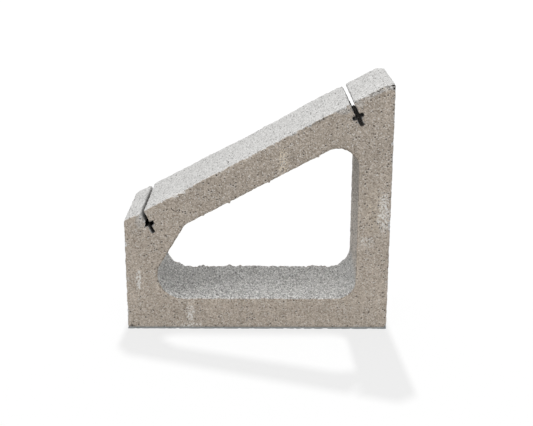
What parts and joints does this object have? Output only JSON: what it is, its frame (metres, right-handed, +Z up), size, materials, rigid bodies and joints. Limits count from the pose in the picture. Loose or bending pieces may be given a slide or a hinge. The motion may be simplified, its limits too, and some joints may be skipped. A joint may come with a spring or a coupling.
{
  "type": "solar ballast mount",
  "caption": "Wedge-shaped concrete block with a sloped top, two cross-shaped slots for the panel clamps and a large window through its width.",
  "frame": {"origin": "middle of the base, on the surface that the block stands on", "axes": "+X along the base from the low end to the high end, +Y across the width from the front face to the back, +Z up"},
  "size_m": [0.52, 0.2, 0.4958],
  "materials": {
    "concrete": "matte"
  },
  "bodies": {
    "root": {"concrete_block": "concrete"}
  },
  "joints": []
}
